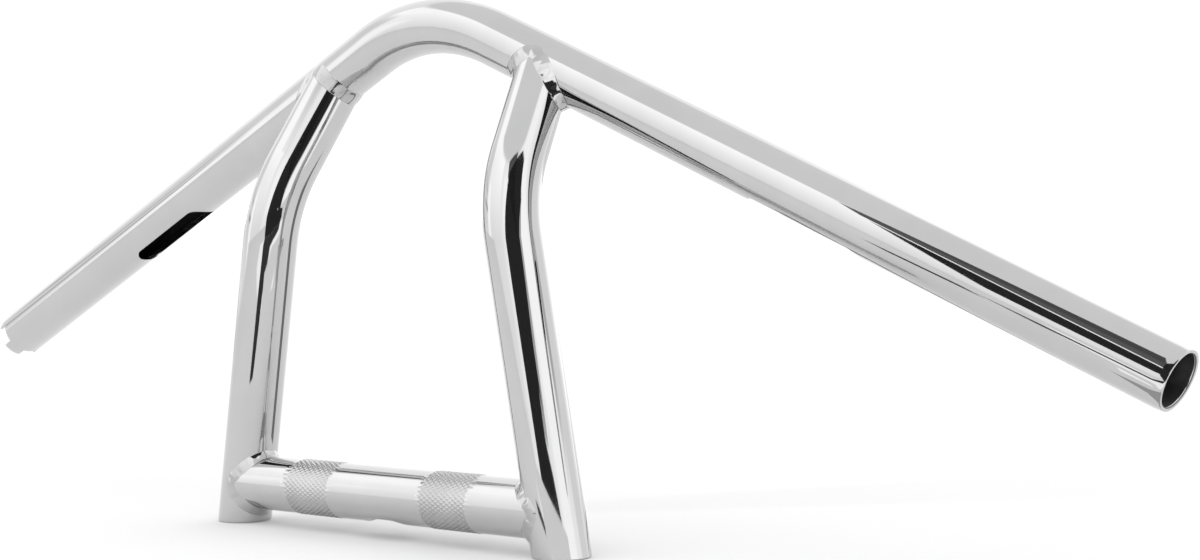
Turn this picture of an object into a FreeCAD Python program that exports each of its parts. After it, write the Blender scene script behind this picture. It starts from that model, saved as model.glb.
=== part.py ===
import FreeCAD, Part
import math
import os

# Pull-back handlebar for a motorcycle: one bent bar carried on two bent risers, joined low down by a
# crossbar that the machine's clamp grips. Millimetres. The origin is the centre of the crossbar,
# +X runs along the crossbar to the rider's left, +Y points back to the rider and +Z is up.

# Tube stock: every tube is one inch outside with the same wall
TUBE_R = 12.7
WALL = 2.1
BORE_R = TUBE_R - WALL

# Main bar: two straight arms that drop and sweep back from a bend in the middle
APEX_BACK = 31.6             # where the axes of the two arms meet
APEX_HEIGHT = 221.5
ARM_DROP_DEG = 23.93
ARM_SWEEP_DEG = 2.66
CLUTCH_ARM = 396.3           # apex to the plain open end, +X side
THROTTLE_ARM = 393.3         # apex to the castellated end, -X side
BAR_BEND_R = 97.0

# Risers: straight from the foot, one bend, then back to the main bar
RISER_HALF_SPREAD = 100.1    # at the height of the crossbar
RISER_BEND_HALF_SPREAD = 76.1
RISER_BEND_HEIGHT = 134.4
RISER_BEND_R = 72.9
RISER_TOP_ALONG_ARM = 74.4   # apex to where the riser's axis meets the arm's axis
FOOT_DROP = 19.0             # crossbar axis down to the flat feet
FOOT_EDGE_R = 0.8
CAP_THICKNESS = 3.0

# Crossbar: two knurled bands for the clamp
BAND_CENTRE = 44.45
BAND_WIDTH = 28.0
BAND_RAISE = 0.2

# Bar ends
LIP_LENGTH = 5.0             # the polished end rolls in over this length
LIP_DROP = 0.35
MOUTH_CHAMFER = 0.7
NOTCH_DEPTH = 6.5            # four notches take a throttle sensor's lugs
NOTCH_WIDTH = 9.7
NOTCH_TURN_DEG = -3.0

# Wiring: slots on the underside, and hidden holes where the tubes join
WIRE_SLOT_WIDTH = 15.0
ARM_SLOT_LENGTH = 62.0
ARM_SLOT_CENTRE = 228.5      # along the arm from the apex
CROSSBAR_SLOT_LENGTH = 28.0
WIRE_HOLE_R = 8.0

# Weld beads stand this far out of both tubes
BEAD = 2.2

UP = FreeCAD.Vector(0, 0, 1)
ACROSS = FreeCAD.Vector(1, 0, 0)
APEX = FreeCAD.Vector(0, APEX_BACK, APEX_HEIGHT)
SIDES = {"left": -1, "right": 1}


def arm_direction(side):
    """The unit vector from the apex along one arm."""
    drop = math.radians(ARM_DROP_DEG)
    sweep = math.radians(ARM_SWEEP_DEG)
    flat = math.cos(drop)
    return FreeCAD.Vector(side * flat * math.cos(sweep), flat * math.sin(sweep), -math.sin(drop))


def along_arm(side, distance):
    return APEX + arm_direction(side) * distance


def underside(direction):
    """The unit vector square to an axis that points as nearly down as it can."""
    down = -UP + direction * UP.dot(direction)
    return down.normalize()


def rod(start, end, radius):
    axis = end - start
    return Part.makeCylinder(radius, axis.Length, start, axis)


def bent_rod(start, corner, end, bend_r, radius):
    """A round rod from start to end that goes round the corner on a tangent arc."""
    back = (start - corner).normalize()
    on = (end - corner).normalize()
    turn = math.pi - back.getAngle(on)
    tangent = bend_r * math.tan(turn / 2)
    bend_start = corner + back * tangent
    bend_end = corner + on * tangent
    centre = corner + (back + on).normalize() * math.hypot(bend_r, tangent)
    section = Part.Face(Part.Wire(Part.makeCircle(radius, bend_start, -back)))
    bend = section.revolve(centre, on.cross(back), math.degrees(turn))
    return rod(start, bend_start, radius).fuse([bend, rod(bend_end, end, radius)])


def slot_cutter(centre, along, out, length, width):
    """An obround prism that cuts a slot through the wall on the out side only."""
    radius = width / 2
    half = along * (length / 2 - radius)
    reach = out * (TUBE_R * 2)
    ends = [Part.makeCylinder(radius, reach.Length, centre + shift, out) for shift in (half, -half)]
    side = out.cross(along) * radius
    corners = [centre + half + side, centre + half - side, centre - half - side, centre - half + side]
    middle = Part.Face(Part.makePolygon(corners + corners[:1])).extrude(reach)
    return middle.fuse(ends)


def lip_cutter(end, direction):
    """What polishing takes off a bar's end: a long roll-in outside and a chamfer at the mouth."""
    arc_r = (LIP_LENGTH ** 2 + LIP_DROP ** 2) / (2 * LIP_DROP)
    spare = 3.0
    mid = LIP_LENGTH / 2
    mid_drop = arc_r - math.sqrt(arc_r ** 2 - mid ** 2)
    roll_start = FreeCAD.Vector(TUBE_R, 0, -LIP_LENGTH)
    roll_mid = FreeCAD.Vector(TUBE_R - mid_drop, 0, -LIP_LENGTH + mid)
    roll_end = FreeCAD.Vector(TUBE_R - LIP_DROP, 0, 0)
    corner = [FreeCAD.Vector(TUBE_R - LIP_DROP, 0, spare), FreeCAD.Vector(TUBE_R + spare, 0, spare)]
    corner.append(FreeCAD.Vector(TUBE_R + spare, 0, -LIP_LENGTH))
    edges = [Part.Arc(roll_start, roll_mid, roll_end).toShape()]
    edges += [Part.makeLine(a, b) for a, b in zip([roll_end] + corner, corner + [roll_start])]
    outside = Part.Face(Part.Wire(edges)).revolve(FreeCAD.Vector(), UP, 360)
    mouth = Part.makeCone(BORE_R, BORE_R + 2 * MOUTH_CHAMFER, 2 * MOUTH_CHAMFER)
    mouth.translate(UP * -MOUTH_CHAMFER)
    cutter = outside.fuse(mouth)
    cutter.Placement = FreeCAD.Placement(end, FreeCAD.Rotation(UP, direction))
    return cutter


def notch_cutters(end, direction):
    """Two bars that cross at the end of the tube and cut its four notches."""
    down = underside(direction)
    turned = FreeCAD.Rotation(direction, NOTCH_TURN_DEG).multVec(down)
    cutters = []
    for across in (turned, direction.cross(turned)):
        corner = FreeCAD.Vector(-NOTCH_WIDTH / 2, -2 * TUBE_R, -NOTCH_DEPTH)
        bar = Part.makeBox(NOTCH_WIDTH, 4 * TUBE_R, 2 * NOTCH_DEPTH, corner)
        placing = FreeCAD.Rotation(across.cross(direction), across, direction, "ZYX")
        bar.Placement = FreeCAD.Placement(end, placing)
        cutters.append(bar)
    return cutters


def tube_pair(*path):
    """The solid outside of a bent tube and the solid that fills its bore."""
    return bent_rod(*path, TUBE_R), bent_rod(*path, BORE_R)


def riser_path(side):
    """Foot, bend corner and top of one riser's axis, and its bend radius."""
    corner = FreeCAD.Vector(side * RISER_BEND_HALF_SPREAD, 0, RISER_BEND_HEIGHT)
    at_clamp = FreeCAD.Vector(side * RISER_HALF_SPREAD, 0, 0)
    down = (at_clamp - corner).normalize()
    foot = at_clamp + down * (2 * FOOT_DROP)
    return foot, corner, along_arm(side, RISER_TOP_ALONG_ARM), RISER_BEND_R


def slab(side, low, high):
    """A level block round one riser's foot."""
    width = 6 * TUBE_R
    block = Part.makeBox(width, width, high - low)
    block.translate(FreeCAD.Vector(side * RISER_HALF_SPREAD - width / 2, -width / 2, low))
    return block


def make_main_bar(bar_rod, bar_bore):
    """The bent tube with its two ends shaped, its two wire slots and its two hidden holes."""
    bar = bar_rod.cut(bar_bore)
    for side, length in ((-1, THROTTLE_ARM), (1, CLUTCH_ARM)):
        arm = arm_direction(side)
        end = along_arm(side, length)
        out = underside(arm)
        slot = slot_cutter(along_arm(side, ARM_SLOT_CENTRE), arm, out, ARM_SLOT_LENGTH, WIRE_SLOT_WIDTH)
        bar = bar.cut([lip_cutter(end, arm), slot, bar_wire_hole(side)])
    return bar.cut(notch_cutters(along_arm(-1, THROTTLE_ARM), arm_direction(-1)))


def bar_wire_hole(side):
    """The hole from a riser's bore up through the wall of the main bar."""
    foot, corner, top, bend_r = riser_path(side)
    return rod((corner + top) * 0.5, top, WIRE_HOLE_R)


def make_riser(side, riser_rod, riser_bore, bar_rod):
    """A bent tube, cut level at its foot, fitted round the main bar and open to the crossbar."""
    tube = riser_rod.cut(riser_bore).cut(slab(side, -6 * FOOT_DROP, -FOOT_DROP))
    foot_edges = [edge for edge in tube.Edges if abs(edge.CenterOfMass.z + FOOT_DROP) < 0.01]
    rim = max(foot_edges, key=lambda edge: edge.Length)
    tube = tube.makeFillet(FOOT_EDGE_R, [rim])
    wire_hole = rod(FreeCAD.Vector(), ACROSS * side * RISER_HALF_SPREAD, WIRE_HOLE_R)
    return tube.cut([bar_rod, wire_hole])


def make_cap(side, riser_bore):
    """The disc that closes a riser's foot, flush with it."""
    return riser_bore.common(slab(side, -FOOT_DROP, CAP_THICKNESS - FOOT_DROP))


def make_crossbar(riser_rods):
    """A straight tube fitted between the risers, with raised bands where it is knurled."""
    ends = [ACROSS * side * RISER_HALF_SPREAD for side in (-1, 1)]
    outside = rod(*ends, TUBE_R)
    for centre in (-BAND_CENTRE, BAND_CENTRE):
        band = [ACROSS * (centre - BAND_WIDTH / 2), ACROSS * (centre + BAND_WIDTH / 2)]
        outside = outside.fuse(rod(*band, TUBE_R + BAND_RAISE))
    slot = slot_cutter(FreeCAD.Vector(), ACROSS, -UP, CROSSBAR_SLOT_LENGTH, WIRE_SLOT_WIDTH)
    return outside.cut([rod(*ends, BORE_R), slot] + riser_rods)


def make_bead(start, end, grown_rod, rods):
    """A weld bead: what lies within BEAD of both tubes in the corner between them."""
    return rod(start, end, TUBE_R + BEAD).common(grown_rod).cut(rods)


def build():
    """Every piece of the handlebar, by name."""
    bar_path = (along_arm(-1, THROTTLE_ARM), APEX, along_arm(1, CLUTCH_ARM), BAR_BEND_R)
    bar_rod, bar_bore = tube_pair(*bar_path)
    risers = {side: tube_pair(*riser_path(side)) for side in (-1, 1)}
    nodes = {
        "main_bar": make_main_bar(bar_rod, bar_bore),
        "crossbar": make_crossbar([risers[side][0] for side in (-1, 1)]),
    }
    for name, side in SIDES.items():
        riser_rod, riser_bore = risers[side]
        foot, corner, top, bend_r = riser_path(side)
        nodes["riser_" + name] = make_riser(side, riser_rod, riser_bore, bar_rod)
        nodes["riser_cap_" + name] = make_cap(side, riser_bore)
        arm_near_joint = [along_arm(side, RISER_TOP_ALONG_ARM * share) for share in (0.5, 1.5)]
        arm_rod = rod(*arm_near_joint, TUBE_R + BEAD)
        nodes["bar_weld_" + name] = make_bead(corner, top, arm_rod, [riser_rod, bar_rod])
        leg_rod = rod(foot, corner, TUBE_R + BEAD)
        joint = ACROSS * side * RISER_HALF_SPREAD
        crossbar_rod = rod(FreeCAD.Vector(), joint, TUBE_R)
        nodes["crossbar_weld_" + name] = make_bead(joint * 0.5, joint, leg_rod, [riser_rod, crossbar_rod])
    return nodes


os.makedirs("parts", exist_ok=True)
for node, shape in build().items():
    solid = shape.Solids[0] if len(shape.Solids) == 1 else shape
    solid.exportStep("parts/" + node + ".step")
    print(node, "solids", len(shape.Solids), "valid", solid.isValid(), "volume mm3", round(solid.Volume, 1))
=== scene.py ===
import math
import bmesh
import bpy
import numpy as np
from mathutils import Matrix, Vector


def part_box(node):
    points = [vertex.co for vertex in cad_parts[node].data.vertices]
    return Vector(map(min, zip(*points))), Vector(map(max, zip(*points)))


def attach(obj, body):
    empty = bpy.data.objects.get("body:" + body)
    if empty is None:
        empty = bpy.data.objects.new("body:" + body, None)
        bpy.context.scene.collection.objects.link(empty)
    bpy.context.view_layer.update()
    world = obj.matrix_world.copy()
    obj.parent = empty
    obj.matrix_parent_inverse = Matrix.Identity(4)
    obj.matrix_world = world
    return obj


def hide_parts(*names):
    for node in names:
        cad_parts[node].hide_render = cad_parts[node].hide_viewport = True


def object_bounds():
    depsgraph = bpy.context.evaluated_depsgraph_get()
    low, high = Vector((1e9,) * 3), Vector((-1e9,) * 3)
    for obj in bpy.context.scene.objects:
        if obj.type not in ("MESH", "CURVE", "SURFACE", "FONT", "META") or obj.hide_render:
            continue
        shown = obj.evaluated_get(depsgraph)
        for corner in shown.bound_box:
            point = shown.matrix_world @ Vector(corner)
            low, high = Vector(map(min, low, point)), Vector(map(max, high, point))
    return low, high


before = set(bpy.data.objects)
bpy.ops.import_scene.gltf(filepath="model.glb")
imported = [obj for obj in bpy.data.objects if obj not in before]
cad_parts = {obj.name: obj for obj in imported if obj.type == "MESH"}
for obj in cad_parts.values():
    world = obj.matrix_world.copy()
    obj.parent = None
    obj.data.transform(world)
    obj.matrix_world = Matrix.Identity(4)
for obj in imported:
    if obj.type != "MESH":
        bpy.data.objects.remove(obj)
cad_low, cad_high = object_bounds()

# The handlebar's shape, with the values of the frame's design: millimetres, and angles in radians.
# +X runs along the crossbar, +Y points back to the rider, +Z is up, and the crossbar's centre is the origin.
MM = 0.001
TUBE_R = 12.7
BORE_R = 10.6
APEX = np.array([0.0, 31.6, 221.5])        # where the axes of the two arms meet
ARM_DROP = math.radians(23.93)
ARM_SWEEP = math.radians(2.66)
CLUTCH_ARM = 396.3
THROTTLE_ARM = 393.3
BAR_BEND_R = 97.0
RISER_HALF_SPREAD = 100.1
RISER_BEND_HALF_SPREAD = 76.1
RISER_BEND_HEIGHT = 134.4
RISER_BEND_R = 72.9
RISER_TOP_ALONG_ARM = 74.4
FOOT_DROP = 19.0
FOOT_EDGE_R = 0.8
BAND_CENTRE = 44.45
BAND_WIDTH = 28.0
BAND_RAISE = 0.2
LIP_LENGTH = 5.0
LIP_DROP = 0.35
MOUTH_CHAMFER = 0.7
NOTCH_DEPTH = 6.5
NOTCH_WIDTH = 9.7
NOTCH_TURN = math.radians(3.0)             # about the bar's axis, seen running from its -X end
WIRE_SLOT_WIDTH = 15.0
ARM_SLOT_LENGTH = 62.0
ARM_SLOT_CENTRE = 228.5
CROSSBAR_SLOT_LENGTH = 28.0

# Detail that the frame leaves plain
KNURL_AROUND = 40            # diamonds round a band
KNURL_ALONG = 8              # diamonds along a band
KNURL_DEPTH = 0.36
KNURL_GROOVE = 0.36          # a diamond's slope ends this far from a groove, and its middle is at 0.5
KNURL_FACES = 6              # faces across a diamond
BAR_BEAD_LEG = 4.4           # how far the welds on the bent bar reach along each tube
CROSSBAR_BEAD_LEG = 3.6
BEAD_FILL = 0.4              # 0 leaves a bead hollow and tangent to both tubes, 1 makes it flat
BEAD_CROWN = 0.35            # how far its middle stands up from that
BEAD_RIPPLE = 0.025          # height of the fine ripples across it
RIPPLE_PITCH = 2.6
BEAD_EDGE_SINK = 0.1         # its edges lie this far under the tubes' surfaces
BEAD_ROOT = 1.2              # and its hidden root this far under the line where the tubes meet
BEAD_STEPS = 240             # points round a bead
BEAD_ROWS = 12               # points across it
SEAM_ROUNDS = 16             # how often a bead's middle line and its two edges are smoothed
BRANCH_EDGE_ROUNDS = 200
MAIN_EDGE_ROUNDS = 60
# how many lumps of each size there are round a bead, their height and where they start
BEAD_LUMPS = ((3, 0.08, 0.7), (7, 0.10, 2.1), (11, 0.12, 4.0), (17, 0.08, 1.3), (29, 0.04, 5.2))
EDGE_ROUND = 0.3             # radius left on cut edges by polishing

BAR_COLUMNS = 96             # faces round the bent tubes
CROSSBAR_COLUMNS = KNURL_FACES * KNURL_AROUND
LONG_STEP = 12.0             # rows of faces along the arms, the main bar's bend and the risers' bends
BAR_BEND_STEP = 3.4
RISER_BEND_STEP = 2.6
ARM_SLOT_STEP = 2.5          # rows beside the slots, and how far past a slot those rows go
ARM_SLOT_MARGIN = 9.0
CROSSBAR_SLOT_STEP = 1.7
CROSSBAR_SLOT_MARGIN = 6.0
SLOT_RINGS = (0.0, 0.08, 0.2, 0.4, 0.68)   # rings of faces round a slot, from its rim outward
NOTCH_FADE = 10.0            # over this length the columns turn back from the notches' sides
ON_SURFACE = 0.03            # a vertex this close to a tube's exact surface gets its exact normal
FACING = 0.9                 # if its own normal agrees with that one at least this well
SHARP = math.radians(35)     # faces that meet at more than this make a visible edge
CHROME, STEEL, KNURL = 0, 1, 2   # finishes: plated outside, bare bore, plated diamonds


def unit(vector):
    return vector / np.linalg.norm(vector, axis=-1, keepdims=True)


def arm_direction(side):
    flat = math.cos(ARM_DROP)
    return np.array([side * flat * math.cos(ARM_SWEEP), flat * math.sin(ARM_SWEEP), -math.sin(ARM_DROP)])


def along_arm(side, distance):
    return APEX + arm_direction(side) * distance


class Path:
    """A tube's centre line: one straight run, or two joined by a tangent arc."""

    def __init__(self, start, end, reference, corner=None, bend_r=1.0):
        self.start = np.asarray(start, float)
        self.reference = np.asarray(reference, float)
        target = np.asarray(end if corner is None else corner, float)
        self.into = unit(target - self.start)
        self.bend_r = bend_r
        self.turn = 0.0
        self.toward = np.zeros(3)
        self.first = float(np.linalg.norm(target - self.start))
        self.length = self.first
        if corner is not None:
            out = unit(np.asarray(end, float) - target)
            self.turn = math.acos(self.into @ out)
            self.toward = unit(out - self.into * (self.into @ out))
            tangent = bend_r * math.tan(self.turn / 2)
            self.first -= tangent
            self.length = self.first + bend_r * self.turn + float(np.linalg.norm(end - target)) - tangent
        self.second = self.first + bend_r * self.turn
        self.bend_start = self.start + self.into * self.first

    def centre(self, s):
        """The centre line's points and directions at the distances s."""
        s = np.asarray(s, float)[..., None]
        angle = np.clip((s - self.first) / self.bend_r, 0, self.turn)
        direction = np.cos(angle) * self.into + np.sin(angle) * self.toward
        on_arc = self.bend_r * (np.sin(angle) * self.into + (1 - np.cos(angle)) * self.toward)
        straight = np.minimum(s - self.first, 0) * self.into + np.maximum(s - self.second, 0) * direction
        return self.bend_start + on_arc + straight, direction

    def surface(self, s, angle, radius):
        """Points at an angle round the tube, counted from the side that the reference points to."""
        centre, direction = self.centre(s)
        zero = unit(self.reference - direction * (direction @ self.reference)[..., None])
        quarter = np.cross(direction, zero)
        angle = np.asarray(angle, float)[..., None]
        radius = np.asarray(radius, float)[..., None]
        return centre + radius * (np.cos(angle) * zero + np.sin(angle) * quarter)

    def place(self, points):
        """Each point's distance along the line, its angle, its distance from the line and its offset."""
        s = (points - self.start) @ self.into
        if self.turn:
            from_hub = points - (self.bend_start + self.toward * self.bend_r)
            angle = np.arctan2(from_hub @ self.into, -(from_hub @ self.toward))
            end, out = self.centre(self.second)
            s = np.where(s > self.first, self.first + self.bend_r * angle, s)
            s = np.where(angle > self.turn, self.second + (points - end) @ out, s)
        centre, direction = self.centre(s)
        offset = points - centre
        zero = unit(self.reference - direction * (direction @ self.reference)[..., None])
        quarter = np.cross(direction, zero)
        angle = np.arctan2((offset * quarter).sum(-1), (offset * zero).sum(-1))
        return s, angle, np.linalg.norm(offset, axis=-1), offset


class Skin:
    """A mesh being built from rows of points in millimetres."""

    def __init__(self):
        self.points, self.faces, self.finish = [], [], []

    def add(self, points):
        """Adds an array of points and returns their indices in the same arrangement."""
        first = len(self.points)
        flat = np.asarray(points).reshape(-1, 3)
        self.points.extend(flat)
        return np.arange(first, first + len(flat)).reshape(points.shape[:-1])

    def quad(self, a, b, c, d, finish):
        self.faces.append((int(a), int(b), int(c), int(d)))
        self.finish.append(finish)

    def rows(self, index, finish, skip=lambda row, column: False):
        """Faces between rows that close on themselves, leaving out the cells that skip names."""
        columns = index.shape[1]
        for row in range(index.shape[0] - 1):
            for column in range(columns):
                if not skip(row, column):
                    after = (column + 1) % columns
                    self.quad(index[row, column], index[row, after], index[row + 1, after],
                              index[row + 1, column], finish)

    def bridge(self, ring, other, finish, columns=None):
        """Faces between two rings with as many points as each other."""
        count = len(ring)
        for column in range(count) if columns is None else columns:
            after = (column + 1) % count
            self.quad(ring[column % count], ring[after], other[after], other[column % count], finish)

    def shape(self, name):
        mesh = bpy.data.meshes.new(name)
        mesh.from_pydata([tuple(p * MM) for p in self.points], [], self.faces)
        mesh.polygons.foreach_set("material_index", self.finish)
        return mesh


def angles(columns):
    return np.arange(columns) * (2 * math.pi / columns)


def spread(start, end, step):
    """Evenly spaced values from start up to but not including end."""
    count = max(1, math.ceil(abs(end - start) / step))
    return list(np.linspace(start, end, count, endpoint=False))


def rim_point(across, along, half_straight, radius):
    """The points of an obround's rim straight in from points outside it."""
    middle = np.clip(along, -half_straight, half_straight)
    reach = np.hypot(across, along - middle)
    return across / reach * radius, middle + (along - middle) / reach * radius


def cut_slot(skin, path, walls, stations, block, centre, length, reach):
    """Fills a block left out of a tube's outer and inner walls with faces round an obround slot.

    walls is the outer and inner (index, radius), block the rows spanned and reach the columns each way.
    """
    columns = walls[0][0].shape[1]
    low, high = block
    right = [(row, reach) for row in range(low, high)]
    left = [(row, -reach) for row in range(high, low, -1)]
    top = [(low, column) for column in range(-reach, reach)]
    bottom = [(high, column) for column in range(reach, -reach, -1)]
    border = np.array(top + right + bottom + left)
    angle = border[:, 1] * (2 * math.pi / columns)
    along = stations[border[:, 0]] - centre
    rim_r = WIRE_SLOT_WIDTH / 2
    across, rim_along = rim_point(TUBE_R * angle, along, length / 2 - rim_r, rim_r)
    rims = []
    for (index, radius), finish in zip(walls, (CHROME, STEEL)):
        rim_angle = np.arcsin(across / radius)
        rings = []
        for share in SLOT_RINGS:
            ring_angle = rim_angle + (angle - rim_angle) * share
            ring_along = rim_along + (along - rim_along) * share
            rings.append(skin.add(path.surface(centre + ring_along, ring_angle, np.full(len(angle), radius))))
        rings.append(index[border[:, 0], border[:, 1] % columns])
        for ring, other in zip(rings, rings[1:]):
            skin.bridge(ring, other, finish)
        rims.append(rings[0])
    skin.bridge(rims[0], rims[1], CHROME)


def in_block(block, reach, columns):
    """A skip rule for the cells of a slot's block."""
    def skip(row, column):
        near = (column + columns // 2) % columns - columns // 2
        return block[0] <= row < block[1] and -reach <= near < reach
    return skip


def finish_piece(name, skin, path, node, rounded=lambda edge: False, plain=lambda s: s > -math.inf):
    """Turns a skin into the piece that stands for a node.

    Sharp edges that rounded picks are rounded, and the tube's walls get exact normals where they are plain.
    """
    mesh = skin.shape(name)
    work = bmesh.new()
    work.from_mesh(mesh)
    bmesh.ops.delete(work, geom=[v for v in work.verts if not v.link_faces], context="VERTS")
    bmesh.ops.recalc_face_normals(work, faces=work.faces)
    sharp = [edge for edge in work.edges if edge.calc_face_angle(0) > SHARP and rounded(edge)]
    if sharp:
        bmesh.ops.bevel(work, geom=sharp, offset=EDGE_ROUND * MM, segments=2, profile=0.5,
                        affect="EDGES", clamp_overlap=True)
    open_edges = sum(not edge.is_manifold for edge in work.edges)
    work.to_mesh(mesh)
    work.free()
    mesh.shade_smooth()
    mesh.set_sharp_from_angle(angle=SHARP)
    points = np.empty(len(mesh.vertices) * 3)
    mesh.vertices.foreach_get("co", points)
    points = points.reshape(-1, 3) / MM
    s, angle, radius, offset = path.place(points)
    normals = np.array([corner.vector for corner in mesh.corner_normals])
    vertex = np.empty(len(mesh.loops), int)
    mesh.loops.foreach_get("vertex_index", vertex)
    for wall, way in ((TUBE_R, 1), (BORE_R, -1)):
        exact = way * unit(offset)[vertex]
        on_wall = ((np.abs(radius - wall) < ON_SURFACE) & plain(s))[vertex]
        on_wall &= (normals * exact).sum(-1) > FACING
        normals[on_wall] = exact[on_wall]
    mesh.normals_split_custom_set(normals)
    print(name, "open edges", open_edges)
    # the tube laid out straight, so that a finish can follow its length
    laid = np.stack([s, radius * np.cos(angle), radius * np.sin(angle)], -1) * MM
    attribute = mesh.attributes.new("tube", "FLOAT_VECTOR", "POINT")
    attribute.data.foreach_set("vector", laid.ravel())
    return add_piece(name, mesh, node)


def add_piece(name, mesh, node):
    """Links a mesh as the piece that stands for a node, and prints how far its box is from the node's."""
    piece = bpy.data.objects.new(name, mesh)
    bpy.context.scene.collection.objects.link(piece)
    low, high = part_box(node)
    corners = np.array([v.co for v in mesh.vertices])
    off = max(np.abs(corners.min(0) - low).max(), np.abs(corners.max(0) - high).max())
    print(name, "faces", len(mesh.polygons), "off its node's box by mm", round(off / MM, 2))
    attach(piece, "root")
    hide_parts(node)
    return piece


DOWN = (0, 0, -1)
FRONT = (0, -1, 0)
BAR = Path(along_arm(-1, THROTTLE_ARM), along_arm(1, CLUTCH_ARM), DOWN, APEX, BAR_BEND_R)
CROSSBAR = Path((-RISER_HALF_SPREAD, 0, 0), (RISER_HALF_SPREAD, 0, 0), DOWN)


def riser_line(side):
    """Where a riser's straight leg passes the crossbar, and the way it rises from there."""
    low = np.array([side * RISER_HALF_SPREAD, 0, 0])
    corner = np.array([side * RISER_BEND_HALF_SPREAD, 0, RISER_BEND_HEIGHT])
    return low, unit(corner - low), corner


def riser_path(side):
    low, rise, corner = riser_line(side)
    return Path(low - rise * 2 * FOOT_DROP, along_arm(side, RISER_TOP_ALONG_ARM), FRONT, corner, RISER_BEND_R)


def meet(points, direction, main_point, main_direction, radius=TUBE_R):
    """How far along a direction from each point a round bar's surface is first met."""
    offset = points - main_point
    across = offset - (offset @ main_direction)[..., None] * main_direction
    step = direction - (direction @ main_direction) * main_direction
    a = step @ step
    b = across @ step
    c = (across ** 2).sum(-1) - radius ** 2
    return (-b - np.sqrt(np.maximum(b * b - a * c, 0))) / a


def notch_angles(s, radius):
    """The bar's column angles: near the throttle end they turn and close up to line the notches' sides up."""
    plain = angles(BAR_COLUMNS)
    fade = np.clip((NOTCH_DEPTH + NOTCH_FADE - s) / NOTCH_FADE, 0, 1)[:, None]
    fade = fade * fade * (3 - 2 * fade)
    pitch = math.pi / 2
    from_notch = (plain + pitch / 2) % pitch - pitch / 2
    half = pitch / 4
    side = np.arcsin(NOTCH_WIDTH / 2 / radius)[:, None]
    inside = from_notch / half * side
    outside = np.sign(from_notch) * (pitch / 2 - (pitch / 2 - np.abs(from_notch)) / half * (pitch / 2 - side))
    lined_up = np.where(np.abs(from_notch) <= half + 1e-9, inside, outside)
    return plain + fade * (lined_up - from_notch + NOTCH_TURN)


def make_main_bar():
    """The bent bar with its rolled lips, throttle notches and two wire slots."""
    lip = [0.0, MOUTH_CHAMFER, 1.4, 2.3, 3.4, LIP_LENGTH]
    past_lip = [8.5, 12.0]
    slot_reach = ARM_SLOT_LENGTH / 2 + ARM_SLOT_MARGIN
    left_slot = THROTTLE_ARM - ARM_SLOT_CENTRE
    right_slot = BAR.length - (CLUTCH_ARM - ARM_SLOT_CENTRE)
    stations = lip + [NOTCH_DEPTH] + past_lip
    stations += spread(NOTCH_DEPTH + NOTCH_FADE, left_slot - slot_reach, LONG_STEP)
    left_block = len(stations)
    stations += spread(left_slot - slot_reach, left_slot + slot_reach, ARM_SLOT_STEP)
    left_block = (left_block, len(stations))
    stations += spread(left_slot + slot_reach, BAR.first, LONG_STEP)
    stations += spread(BAR.first, BAR.second, BAR_BEND_STEP)
    stations += spread(BAR.second, right_slot - slot_reach, LONG_STEP)
    right_block = len(stations)
    stations += spread(right_slot - slot_reach, right_slot + slot_reach, ARM_SLOT_STEP)
    right_block = (right_block, len(stations))
    stations += spread(right_slot + slot_reach, BAR.length - past_lip[-1], LONG_STEP)
    stations += [BAR.length - s for s in (lip + past_lip)[::-1]]
    stations = np.array(stations)

    from_end = np.minimum(stations, BAR.length - stations)
    outer_r = TUBE_R - LIP_DROP * np.clip(1 - from_end / LIP_LENGTH, 0, 1) ** 2
    inner_r = BORE_R + np.clip(MOUTH_CHAMFER - from_end, 0, None)
    skin = Skin()
    walls = []
    for radius in (outer_r, inner_r):
        turned = notch_angles(stations, radius)
        points = BAR.surface(np.repeat(stations[:, None], BAR_COLUMNS, 1), turned, radius[:, None])
        walls.append(skin.add(points))
    reach = BAR_COLUMNS // 6
    slots = [in_block(block, reach, BAR_COLUMNS) for block in (left_block, right_block)]
    floor = int(np.argmin(np.abs(stations - NOTCH_DEPTH)))
    quarter = BAR_COLUMNS // 4
    notch = [column for column in range(BAR_COLUMNS) if (column + quarter // 4) % quarter < quarter // 2]
    tabs = [column for column in range(BAR_COLUMNS) if column not in notch]

    def skip(row, column):
        return slots[0](row, column) or slots[1](row, column) or (row < floor and column in notch)

    for wall, finish in zip(walls, (CHROME, STEEL)):
        skin.rows(wall, finish, skip)
    skin.bridge(walls[0][0], walls[1][0], CHROME, tabs)
    skin.bridge(walls[0][floor], walls[1][floor], CHROME, notch)
    skin.bridge(walls[0][-1], walls[1][-1], CHROME)
    for column in range(BAR_COLUMNS):
        if (column in notch) != ((column - 1) % BAR_COLUMNS in notch):
            for row in range(floor):
                skin.quad(walls[0][row, column], walls[0][row + 1, column],
                          walls[1][row + 1, column], walls[1][row, column], CHROME)
    pair = ((walls[0], TUBE_R), (walls[1], BORE_R))
    cut_slot(skin, BAR, pair, stations, left_block, left_slot, ARM_SLOT_LENGTH, reach)
    cut_slot(skin, BAR, pair, stations, right_block, right_slot, ARM_SLOT_LENGTH, reach)
    return finish_piece("chrome_main_bar", skin, BAR, "main_bar", rounded=lambda edge: True)


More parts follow.
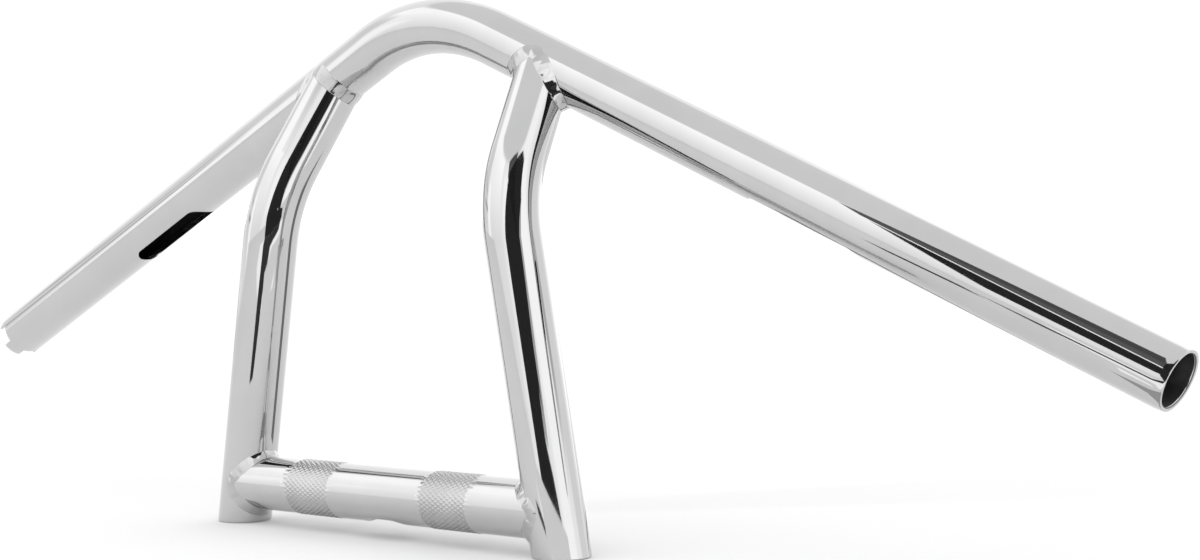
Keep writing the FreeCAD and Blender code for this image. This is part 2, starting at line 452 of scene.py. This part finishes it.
def knurl_radius(s, angle):
    """The crossbar's radius, with diamonds between two crossing sets of grooves on each band."""
    x = s - RISER_HALF_SPREAD
    pitch = BAND_WIDTH / KNURL_ALONG
    start = np.where(x < 0, -BAND_CENTRE, BAND_CENTRE) - BAND_WIDTH / 2
    along = (x - start) / pitch
    around = angle / (2 * math.pi) * KNURL_AROUND
    land = 1.0
    for turns in (around + along, around - along):
        from_groove = 0.5 - np.abs(turns % 1.0 - 0.5)
        rise = np.clip(from_groove / KNURL_GROOVE, 0, 1)
        land = np.minimum(land, rise * rise * (3 - 2 * rise))
    in_band = (along > -0.001) & (along < KNURL_ALONG + 0.001)
    crest = TUBE_R + BAND_RAISE
    return np.where(in_band, crest - KNURL_DEPTH * (1 - land), TUBE_R)


def make_crossbar():
    """The straight tube between the risers, with two knurled bands and a wire slot underneath."""
    edge = 0.35                  # the band's shoulder
    plain_step = 3.0
    past_band = 4.0
    knurl_step = BAND_WIDTH / KNURL_ALONG / KNURL_FACES
    slot_reach = CROSSBAR_SLOT_LENGTH / 2 + CROSSBAR_SLOT_MARGIN
    near = BAND_CENTRE - BAND_WIDTH / 2
    far = BAND_CENTRE + BAND_WIDTH / 2
    half = spread(slot_reach, near - edge, plain_step) + [near - edge]
    half += spread(near, far, knurl_step) + [far, far + edge, far + past_band]
    slot_rows = spread(-slot_reach, slot_reach, CROSSBAR_SLOT_STEP)
    stations = np.array([-x for x in half[::-1]] + slot_rows[1:] + half) + RISER_HALF_SPREAD
    first = len(half) - 1
    block = (first, first + len(slot_rows))

    turned = angles(CROSSBAR_COLUMNS)
    skin = Skin()
    grid = np.repeat(stations[:, None], CROSSBAR_COLUMNS, 1)
    around = np.repeat(turned[None, :], len(stations), 0)
    walls = [CROSSBAR.surface(grid, around, knurl_radius(grid, around)),
             CROSSBAR.surface(grid, around, np.full(grid.shape, BORE_R))]
    ends = []
    for radius in (TUBE_R, BORE_R):
        centre = np.full(CROSSBAR_COLUMNS, RISER_HALF_SPREAD)
        ring = CROSSBAR.surface(centre, turned, np.full(CROSSBAR_COLUMNS, radius))
        limits = []
        for side in (-1, 1):
            low, rise = riser_line(side)[:2]
            limits.append(side * meet(ring, np.array([side, 0.0, 0.0]), low, rise))
        ends.append([limit + RISER_HALF_SPREAD for limit in limits])
    index = []
    for wall, radius, (left, right) in zip(walls, (TUBE_R, BORE_R), ends):
        shares = (0.0, 0.3, 0.65)
        size = np.full(CROSSBAR_COLUMNS, radius)
        before = [CROSSBAR.surface(left + (stations[0] - left) * share, turned, size) for share in shares]
        after = [CROSSBAR.surface(right + (stations[-1] - right) * share, turned, size) for share in shares]
        index.append(skin.add(np.concatenate([np.array(before), wall, np.array(after[::-1])])))
    reach = CROSSBAR_COLUMNS // 6
    block = (block[0] + len(shares), block[1] + len(shares))
    slot = in_block(block, reach, CROSSBAR_COLUMNS)
    # zeros stand in for the rows just added at both ends: they lie clear of the bands
    stations = np.pad(stations, len(shares))
    middle = (stations[1:] + stations[:-1]) / 2 - RISER_HALF_SPREAD
    knurled = np.abs(np.abs(middle) - BAND_CENTRE) < BAND_WIDTH / 2
    skin.rows(index[0], CHROME, lambda row, column: knurled[row] or slot(row, column))
    skin.rows(index[0], KNURL, lambda row, column: not knurled[row])
    skin.rows(index[1], STEEL, slot)
    for end in (0, -1):
        skin.bridge(index[0][end], index[1][end], STEEL)
    pair = ((index[0], TUBE_R), (index[1], BORE_R))
    cut_slot(skin, CROSSBAR, pair, stations, block, RISER_HALF_SPREAD, CROSSBAR_SLOT_LENGTH, reach)

    def near_slot(edge):
        return abs(edge.verts[0].co.x) < slot_reach * MM

    def off_bands(s):
        return np.abs(np.abs(s - RISER_HALF_SPREAD) - BAND_CENTRE) > BAND_WIDTH / 2 + 1

    return finish_piece("chrome_crossbar", skin, CROSSBAR, "crossbar", near_slot, off_bands)


def make_riser(side, name):
    """A bent leg: rounded at the foot, straight, bent, and mitred to the bar."""
    path = riser_path(side)
    turned = angles(BAR_COLUMNS)
    leg_rows = 16
    neck_rows = 8
    heel_rows = 6

    def at_height(height, radius):
        """How far along the leg each side of the tube reaches a level."""
        ring = path.surface(np.zeros(BAR_COLUMNS), turned, np.full(BAR_COLUMNS, radius))
        return (height - ring[:, 2]) / path.into[2]

    def ring_at(s, radius):
        return path.surface(np.broadcast_to(s, BAR_COLUMNS), turned, np.full(BAR_COLUMNS, radius))

    rings = []
    for radius in (TUBE_R, BORE_R):
        top_ring = ring_at(path.second, radius)
        end, out = path.centre(path.second)
        top = path.second + meet(top_ring, out, along_arm(side, 0), arm_direction(side))
        foot = at_height(-FOOT_DROP + (FOOT_EDGE_R if radius == TUBE_R else 0), radius)
        leg = [ring_at(foot + (path.first - foot) * share, radius)
               for share in np.linspace(0, 1, leg_rows)[:-1]]
        bend = [ring_at(s, radius) for s in spread(path.first, path.second, RISER_BEND_STEP)]
        neck = [ring_at(path.second + (top - path.second) * share, radius)
                for share in np.linspace(0, 1, neck_rows)]
        rings.append(leg + bend + neck)
    heel = []
    for turn in np.linspace(math.pi / 2, 0, heel_rows)[:-1]:
        radius = TUBE_R - FOOT_EDGE_R * (1 - math.cos(turn))
        heel.append(ring_at(at_height(-FOOT_DROP + FOOT_EDGE_R * (1 - math.sin(turn)), radius), radius))
    skin = Skin()
    outer = skin.add(np.array(heel + rings[0]))
    inner = skin.add(np.array(rings[1]))
    skin.rows(outer, CHROME)
    skin.rows(inner, STEEL)
    skin.bridge(outer[0], inner[0], CHROME)
    skin.bridge(outer[-1], inner[-1], STEEL)
    return finish_piece("chrome_riser_" + name, skin, path, "riser_" + name)


def smoothed(ring, rounds):
    """A closed ring of points with its corners rounded off."""
    for smoothing in range(rounds):
        ring = (np.roll(ring, 1, 0) + 2 * ring + np.roll(ring, -1, 0)) / 4
    return ring


def make_bead(name, node, origin, direction, main_point, main_direction, leg):
    """A weld bead laid round the line where a branch tube meets a main one, reaching leg along each."""
    branch = Path(origin, origin + direction * 100, FRONT)
    ring = branch.surface(np.zeros(BEAD_STEPS), angles(BEAD_STEPS), np.full(BEAD_STEPS, TUBE_R))
    seam = ring + meet(ring, direction, main_point, main_direction)[:, None] * direction
    seam = smoothed(seam, SEAM_ROUNDS)
    run = unit(np.roll(seam, -1, 0) - np.roll(seam, 1, 0))
    travelled = np.cumsum(np.linalg.norm(seam - np.roll(seam, 1, 0), axis=1))

    def radial(points, line_point, line_direction):
        offset = points - line_point
        return offset - (offset @ line_direction)[:, None] * line_direction

    def onto(points, line_point, line_direction):
        """The same points moved straight in or out onto a tube's surface."""
        offset = radial(points, line_point, line_direction)
        return points - offset + unit(offset) * TUBE_R

    branch_out = unit(radial(seam, origin, direction))
    main_out = unit(radial(seam, main_point, main_direction))
    way = np.sign((np.cross(run, branch_out) @ direction).sum())
    up_branch = -way * unit(np.cross(run, branch_out))
    along_main = way * unit(np.cross(run, main_out))
    start = onto(smoothed(seam + up_branch * leg, BRANCH_EDGE_ROUNDS), origin, direction)
    end = onto(smoothed(seam + along_main * leg, MAIN_EDGE_ROUNDS), main_point, main_direction)
    outward = unit(branch_out + main_out)
    phase = travelled / travelled[-1] * 2 * math.pi
    ripples = round(travelled[-1] / RIPPLE_PITCH)
    lumps = sum(height * np.sin(count * phase + first) for count, height, first in BEAD_LUMPS)
    pull = seam + ((start + end) / 2 - seam) * BEAD_FILL
    rows = []
    for share in np.linspace(0, 1, BEAD_ROWS):
        arch = (4 * share * (1 - share)) ** 1.3
        ripple = BEAD_RIPPLE * np.cos(ripples * phase + 2.2 * (2 * share - 1) ** 2)
        lift = arch * (BEAD_CROWN + lumps + ripple) - BEAD_EDGE_SINK * (1 - arch)
        curve = (1 - share) ** 2 * start + 2 * share * (1 - share) * pull + share ** 2 * end
        rows.append(curve + outward * lift[:, None])
    rows.append(seam - outward * BEAD_ROOT)
    skin = Skin()
    index = skin.add(np.array(rows))
    skin.rows(index, CHROME)
    skin.bridge(index[-1], index[0], CHROME)
    mesh = skin.shape(name)
    work = bmesh.new()
    work.from_mesh(mesh)
    bmesh.ops.recalc_face_normals(work, faces=work.faces)
    work.to_mesh(mesh)
    work.free()
    mesh.shade_smooth()
    return add_piece(name, mesh, node)


class Graph:
    """A node tree that is built by calls: each makes a node, fills its sockets and returns it."""

    def __init__(self, owner):
        owner.use_nodes = True
        self.tree = owner.node_tree
        self.tree.nodes.clear()

    def node(self, kind, sockets=(), **settings):
        made = self.tree.nodes.new(kind)
        for key, value in settings.items():
            setattr(made, key, value)
        for key, value in dict(sockets).items():
            if isinstance(value, bpy.types.NodeSocket):
                self.tree.links.new(value, made.inputs[key])
            else:
                made.inputs[key].default_value = value
        return made

    def math(self, operation, *values):
        return self.node("ShaderNodeMath", enumerate(values), operation=operation).outputs[0]

    def ramp(self, value, low, high, start, end, kind="SMOOTHSTEP"):
        """A value taken from one range to another, held at the ends."""
        sockets = {"Value": value, 1: low, 2: high, 3: start, 4: end}
        return self.node("ShaderNodeMapRange", sockets, interpolation_type=kind).outputs[0]

    def noise(self, place, scale, detail=3.0, roughness=0.5):
        sockets = {"Vector": place, "Scale": scale, "Detail": detail, "Roughness": roughness}
        return self.node("ShaderNodeTexNoise", sockets).outputs["Fac"]

    def stretched(self, place, scale):
        return self.node("ShaderNodeVectorMath", {0: place, 1: scale}, operation="MULTIPLY").outputs[0]

    def blend(self, amount, first, second):
        sockets = {0: amount, 6: first, 7: second}
        return self.node("ShaderNodeMix", sockets, data_type="RGBA").outputs[2]

    def bump(self, height, distance, under=None):
        sockets = {"Height": height, "Distance": distance}
        if under:
            sockets["Normal"] = under
        return self.node("ShaderNodeBump", sockets).outputs[0]


CLOUD_SCALE = 45.0           # per metre: soft patches about 20 mm across
WAVE_SCALE = 110.0
EVEN_GRAIN = (900.0, 900.0, 900.0)         # for pieces that have no tube to follow
ROUND_THE_TUBE = (2600.0, 70.0, 70.0)      # buffing lines, fine along the tube and long round it
ALONG_THE_TUBE = (25.0, 900.0, 900.0)      # drawing lines inside the bore


def metal(name, tint, shade, gloss, marks, peel, laid_out=None):
    """A metal with cloudy tint and gloss, fine marks round the tube and a slow waviness.

    tint and shade are its two colours, gloss its two roughnesses; marks and peel are heights in metres,
    and laid_out is how fine the marks are along a tube and across it.
    """
    material = bpy.data.materials.new(name)
    graph = Graph(material)
    if laid_out:
        place = graph.node("ShaderNodeAttribute", attribute_name="tube").outputs["Vector"]
    else:
        place = graph.node("ShaderNodeTexCoord").outputs["Object"]
    cloud = graph.noise(place, CLOUD_SCALE, 4.0)
    grain = graph.noise(graph.stretched(place, laid_out or EVEN_GRAIN), 1.0, 5.0, 0.6)
    wave = graph.noise(place, WAVE_SCALE, 1.0)
    colour = graph.blend(graph.ramp(cloud, 0.35, 0.65, 0.0, 1.0), (*tint, 1.0), (*shade, 1.0))
    rough = graph.math("ADD", graph.ramp(cloud, 0.3, 0.7, gloss[0], gloss[1]),
                       graph.ramp(grain, 0.45, 0.75, 0.0, (gloss[1] - gloss[0]) * 0.6))
    normal = graph.bump(grain, marks, graph.bump(wave, peel))
    shader = graph.node("ShaderNodeBsdfPrincipled", {
        "Base Color": colour, "Metallic": 1.0, "Roughness": rough, "Normal": normal})
    graph.node("ShaderNodeOutputMaterial", {"Surface": shader.outputs[0]})
    return material


chrome = metal("polished_chrome", tint=(0.553, 0.553, 0.553), shade=(0.537, 0.537, 0.538),
               gloss=(0.03, 0.06), marks=2e-7, peel=1.5e-6, laid_out=ROUND_THE_TUBE)
knurled_chrome = metal("knurled_chrome", tint=(0.50, 0.50, 0.50), shade=(0.45, 0.45, 0.45),
                       gloss=(0.16, 0.26), marks=4e-6, peel=1.5e-6, laid_out=ROUND_THE_TUBE)
weld_chrome = metal("chrome_over_weld", tint=(0.54, 0.54, 0.54), shade=(0.44, 0.44, 0.44),
                    gloss=(0.05, 0.12), marks=8e-6, peel=3e-5)
bore_steel = metal("bare_bore_steel", tint=(0.10, 0.10, 0.105), shade=(0.19, 0.185, 0.18),
                   gloss=(0.42, 0.6), marks=2e-5, peel=2e-5, laid_out=ALONG_THE_TUBE)

tubes = [make_main_bar(), make_crossbar(), make_riser(-1, "left"), make_riser(1, "right")]
for tube in tubes:
    for finish in (chrome, bore_steel, knurled_chrome):
        tube.data.materials.append(finish)
beads = []
for side, name in ((-1, "left"), (1, "right")):
    low, rise = riser_line(side)[:2]
    riser = riser_path(side)
    top, out = riser.centre(riser.second)
    beads.append(make_bead("weld_to_bar_" + name, "bar_weld_" + name, top, out,
                           along_arm(side, 0), arm_direction(side), BAR_BEAD_LEG))
    beads.append(make_bead("weld_to_crossbar_" + name, "crossbar_weld_" + name, np.zeros(3),
                           np.array([side, 0.0, 0.0]), low, rise, CROSSBAR_BEAD_LEG))
    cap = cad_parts["riser_cap_" + name]
    cap.data.materials.clear()
    cap.data.materials.append(weld_chrome)
for bead in beads:
    bead.data.materials.append(weld_chrome)


# The studio: a pale floor and soft white surroundings, with cards and flags that only the chrome sees
CAMERA_PLACE = Vector((0.7355, -0.6869, 0.1251))
CAMERA_RIGHT = Vector((0.7493, 0.6619, -0.0199))
CAMERA_BACK = Vector((0.6622, -0.7487, 0.0299))
CAMERA_LENS = 66.87
CAMERA_SENSOR = 36.0

# The plan directions toward the camera and to its right
TOWARD = Vector((CAMERA_BACK.x, CAMERA_BACK.y, 0)).normalized()
RIGHTWARD = Vector((-TOWARD.y, TOWARD.x, 0))

# Soft panels far off, as seen from the object: degrees to the right of the camera and above level,
# half width, half height, how soft the edge is, and brightness at the foot and at the head.
# A later one covers an earlier one.
SKY_BRIGHT = 1.42
PANELS = (
    (-78, 23, 34, 27, 3, 1.22, 1.78),        # the big softbox beside the +X arm
    (180, 0, 62, 90, 8, 1.3, 1.3),           # the room behind
    (-122, 16, 13, 16, 4, 1.08, 1.08),
    (-112, 41, 14, 6, 3, 1.7, 1.7),
    (-99, 8, 6, 14, 3, 1.65, 1.65),
    (-114, 9, 9, 1, 1, 0.55, 0.55),          # two thin grey rails
    (-123, 14, 12, 0.8, 1, 0.75, 0.75),
    (-22, 24, 13, 18, 6, 1.62, 1.62),
    (46, 10, 18, 40, 6, 1.62, 1.62),
    (103, 8, 18, 14, 4, 1.12, 1.12),
    (80, 13, 6, 3, 2, 0.65, 0.65),
    (148, 10, 14, 30, 5, 1.66, 1.66),
)
ZENITH_BRIGHT = 1.04
ZENITH_EDGE = (46, 50)


def make_world():
    """Surroundings whose brightness depends on direction."""
    world = bpy.data.worlds.new("studio")
    graph = Graph(world)
    direction = graph.node("ShaderNodeTexCoord").outputs["Generated"]

    def dot(axis):
        product = graph.node("ShaderNodeVectorMath", {0: direction, 1: axis}, operation="DOT_PRODUCT")
        return product.outputs["Value"]

    def over(under, level, cover):
        change = graph.math("MULTIPLY", graph.math("SUBTRACT", level, under), cover)
        return graph.math("ADD", change, under)

    azimuth = graph.math("ARCTAN2", dot(RIGHTWARD), dot(TOWARD))
    elevation = graph.math("ARCSINE", dot((0, 0, 1)))
    bright = SKY_BRIGHT
    for at, height, half_width, half_height, soft, foot, head in PANELS:
        turn = graph.math("WRAP", graph.math("SUBTRACT", azimuth, math.radians(at)), math.pi, -math.pi)
        rise = graph.math("SUBTRACT", elevation, math.radians(height))
        inside = []
        for value, half in ((turn, half_width), (rise, half_height)):
            away = graph.math("ABSOLUTE", value)
            inside.append(graph.ramp(away, math.radians(half - soft), math.radians(half + soft), 1.0, 0.0))
        reach = math.radians(half_height)
        level = graph.ramp(rise, -reach, reach, foot, head, "LINEAR")
        bright = over(bright, level, graph.math("MULTIPLY", *inside))
    low, high = (math.radians(edge) for edge in ZENITH_EDGE)
    bright = over(bright, ZENITH_BRIGHT, graph.ramp(elevation, low, high, 0.0, 1.0))
    # looked at directly, the surroundings are plain white: only the chrome shows the panels
    bright = over(bright, SKY_BRIGHT, graph.node("ShaderNodeLightPath").outputs["Is Camera Ray"])
    light = graph.node("ShaderNodeBackground", {"Color": (1.0, 1.0, 1.0, 1.0), "Strength": bright})
    graph.node("ShaderNodeOutputWorld", {"Surface": light.outputs[0]})
    return world


def make_card(name, corners, level, opacity=1.0):
    """A flat card that only shiny surfaces see; a netting card lets part of what is behind it through."""
    mesh = bpy.data.meshes.new(name)
    mesh.from_pydata(corners, [], [range(len(corners))])
    card = bpy.data.objects.new(name, mesh)
    bpy.context.scene.collection.objects.link(card)
    material = bpy.data.materials.new(name)
    graph = Graph(material)
    card_face = graph.node("ShaderNodeEmission", {"Color": (1.0, 1.0, 1.0, 1.0), "Strength": level})
    holes = graph.node("ShaderNodeBsdfTransparent")
    netting = graph.node("ShaderNodeMixShader", {0: opacity, 1: holes.outputs[0], 2: card_face.outputs[0]})
    graph.node("ShaderNodeOutputMaterial", {"Surface": netting.outputs[0]})
    mesh.materials.append(material)
    card.visible_camera = False
    card.visible_diffuse = False
    card.visible_shadow = False
    card.visible_transmission = False


SIDE_FLAG_Y = -0.21          # the two flags beside the +X arm stand in this plane
FAR_FLAG_REACH = 0.8         # and the tall one this far toward the camera
FLOOR_GAP = 0.0002


def beside_arm(points):
    """Places in the side flags' plane, from distances along X and heights."""
    return [(x, SIDE_FLAG_Y, z) for x, z in points]


def facing_camera(points, reach=FAR_FLAG_REACH):
    """Places in an upright plane across the camera's view, from distances to its right and heights."""
    return [TOWARD * reach + RIGHTWARD * u + Vector((0, 0, z)) for u, z in points]


def on_floor(points, layer, across=Vector((1, 0, 0)), along=Vector((0, 1, 0))):
    """Places just above the floor, with later layers a little higher."""
    level = Vector((0, 0, cad_low.z + FLOOR_GAP * layer))
    return [level + across * u + along * v for u, v in points]


# The tall flag stands on the floor and leans to the right, and the upper part of its right edge is netting
FLAG_LEFT_EDGE = [(-0.36, -0.018), (-0.38, 0.08), (-0.42, 0.20), (-0.32, 0.40), (-0.22, 0.60), (-0.10, 0.85)]
FLAG_TOP = [(0.20, 0.95), (0.60, 1.05), (0.85, 0.95)]
FLAG_RIGHT_EDGE = [(0.74, 0.62), (0.50, 0.45), (0.32, 0.29), (0.20, 0.20), (0.13, 0.14)]
FLAG_FOOT = [(0.26, 0.13), (0.50, 0.07), (0.58, -0.018)]
NET_EDGE = [(0.25, 0.15), (0.33, 0.22), (0.42, 0.31), (0.60, 0.45), (0.85, 0.70)]
make_card("flag_tall", facing_camera(FLAG_LEFT_EDGE + FLAG_TOP + FLAG_RIGHT_EDGE + FLAG_FOOT), level=0.03)
make_card("flag_tall_net", facing_camera(FLAG_RIGHT_EDGE + NET_EDGE), level=0.1, opacity=0.6)
LOW_FLAG = [(0.17, 0.312), (0.202, 0.148), (0.38, 0.10), (0.38, 0.195)]
make_card("flag_low", beside_arm(LOW_FLAG), level=0.03)
HIGH_FLAG = [(0.157, 0.392), (0.167, 0.33), (0.40, 0.203), (0.40, 0.60), (0.33, 0.54), (0.25, 0.475)]
make_card("flag_high", beside_arm(HIGH_FLAG), level=0.02, opacity=0.92)
FOOT_CARD = [(-0.10, -0.018), (0.20, -0.018), (0.20, 0.022), (-0.10, 0.022)]
make_card("card_foot", facing_camera(FOOT_CARD, reach=0.25), level=1.05)
# painted pool of light: a glowing sheet on the floor in front of the bar, seen only in the chrome, standing
# in for brightly lit paper
PAINTED_LIGHT_POOL = [(0.24, -0.09), (0.20, -0.20), (0.12, -0.30), (-0.10, -0.80), (0.80, -0.90), (0.80, -0.05)]
make_card("painted_light_pool_floor", on_floor(PAINTED_LIGHT_POOL, layer=1), level=1.5)
# painted shade: a dim glowing sheet on the floor under the +X arm, seen only in the chrome, standing in for
# the arm's shadow
PAINTED_ARM_SHADE = [(0.25, -0.03), (0.30, 0.03), (0.33, 0.12), (0.38, 0.12), (0.38, 0.0), (0.33, -0.05)]
make_card("painted_shade_under_arm", on_floor(PAINTED_ARM_SHADE, layer=2), level=0.5)
BEHIND_CARD = [(-0.009, 0.084), (0.404, 0.49), (0.26, 0.603), (-0.034, 0.103)]
make_card("card_dark_behind", on_floor(BEHIND_CARD, layer=2), level=0.25)
FRONT_CARD = [(-0.20, 0.18), (-0.14, 0.18), (-0.12, 0.35), (0.10, 0.48), (0.32, 0.51), (0.55, 0.80)]
FRONT_CARD += [(-0.36, 0.80), (-0.29, 0.41)]
make_card("card_dark_front", on_floor(FRONT_CARD, layer=3, across=RIGHTWARD, along=TOWARD), level=0.05)

scene = bpy.context.scene
scene.world = make_world()
scene.view_settings.view_transform = "Standard"

# The pale floor that the feet stand on
FLOOR_REACH = 60.0
FLOOR_SIGNS = ((-1, -1), (1, -1), (1, 1), (-1, 1))
floor_corners = [(x * FLOOR_REACH, y * FLOOR_REACH, cad_low.z) for x, y in FLOOR_SIGNS]
floor_mesh = bpy.data.meshes.new("floor")
floor_mesh.from_pydata(floor_corners, [], [(0, 1, 2, 3)])
floor = bpy.data.objects.new("floor", floor_mesh)
scene.collection.objects.link(floor)
paper = bpy.data.materials.new("pale_paper")
graph = Graph(paper)
place = graph.node("ShaderNodeTexCoord").outputs["Object"]
tone = graph.blend(graph.noise(place, 3.0), (0.785, 0.785, 0.785, 1.0), (0.80, 0.80, 0.80, 1.0))
paper_look = {"Base Color": tone, "Roughness": 0.8, "Specular IOR Level": 0.2}
shader = graph.node("ShaderNodeBsdfPrincipled", paper_look)
graph.node("ShaderNodeOutputMaterial", {"Surface": shader.outputs[0]})
floor_mesh.materials.append(paper)

# One large soft lamp overhead, which the chrome doesn't show
lamp = bpy.data.lights.new("softbox", "AREA")
lamp.shape = "DISK"
lamp.size = 1.6
lamp.energy = 3.0
softbox = bpy.data.objects.new("softbox", lamp)
softbox.location = (-0.3, -0.6, 1.7)
softbox.rotation_euler = (Vector((0, 0, 0)) - softbox.location).to_track_quat("-Z", "Y").to_euler()
softbox.visible_glossy = False
scene.collection.objects.link(softbox)

# The camera
lens = bpy.data.cameras.new("camera")
lens.lens = CAMERA_LENS
lens.sensor_width = CAMERA_SENSOR
camera = bpy.data.objects.new("camera", lens)
up = CAMERA_BACK.cross(CAMERA_RIGHT).normalized()
right = up.cross(CAMERA_BACK).normalized()
axes = Matrix((right, up, CAMERA_BACK.normalized())).transposed().to_4x4()
camera.matrix_world = Matrix.Translation(CAMERA_PLACE) @ axes
scene.collection.objects.link(camera)
scene.camera = camera
